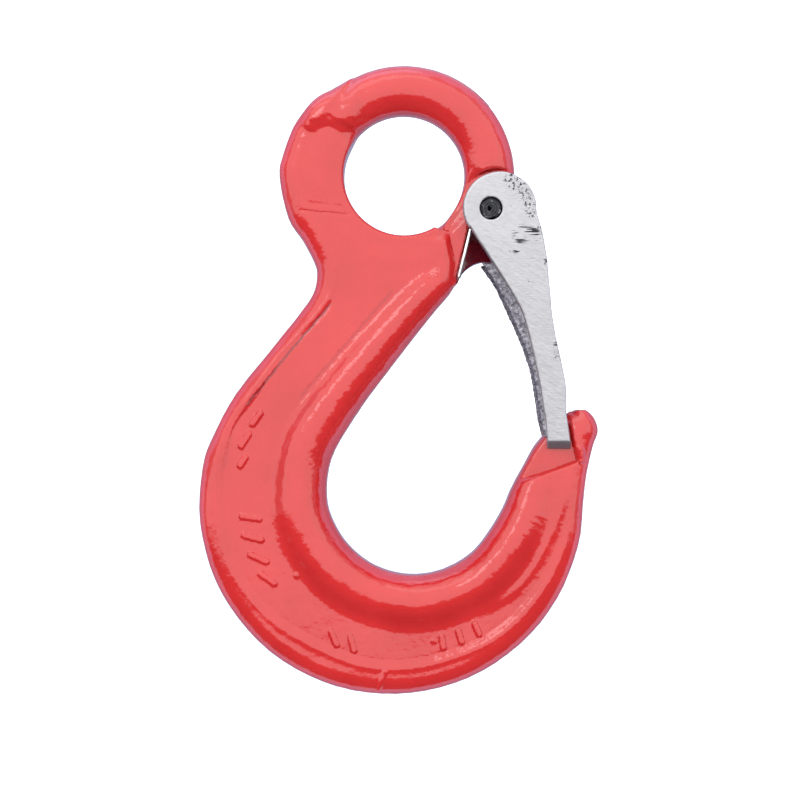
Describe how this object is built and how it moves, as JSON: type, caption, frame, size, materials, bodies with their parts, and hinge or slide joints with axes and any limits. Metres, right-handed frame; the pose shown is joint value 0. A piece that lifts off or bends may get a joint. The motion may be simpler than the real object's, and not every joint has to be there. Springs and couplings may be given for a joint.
{
  "type": "safety chain hook",
  "caption": "Forged eye hook for chain or sling, with a deep load bowl and a sprung safety latch that swings inwards to let a link in and closes against the tip.",
  "frame": {"origin": "centre of the eye's hole, half way through the hook's thickness", "axes": "+Z from the bowl up to the eye, +X towards the mouth and the tip, +Y along the axis of the eye, away from the face with the spring's pocket"},
  "size_m": [0.092, 0.0176, 0.1449],
  "materials": {
    "red_paint": "thick glossy paint over a forged surface",
    "latch_steel": "satin ground faces, as-cast elsewhere",
    "black_steel": "black oxide, semi-gloss",
    "spring_wire": "bright drawn wire"
  },
  "bodies": {
    "hook": {"hook_body": "red_paint", "spring_pin": "black_steel", "latch_spring": "spring_wire"},
    "latch": {"latch": "latch_steel"}
  },
  "joints": [
    {"name": "latch_hinge", "type": "hinge", "parent": "hook", "child": "latch", "pos_m": [0.0198, 0, -0.0079], "axis": [0, 1, 0], "range_deg": [0, 31], "stiffness_Nm_per_rad": 0.05, "springref_deg": -45.84, "deforming": ["latch_spring"]}
  ]
}
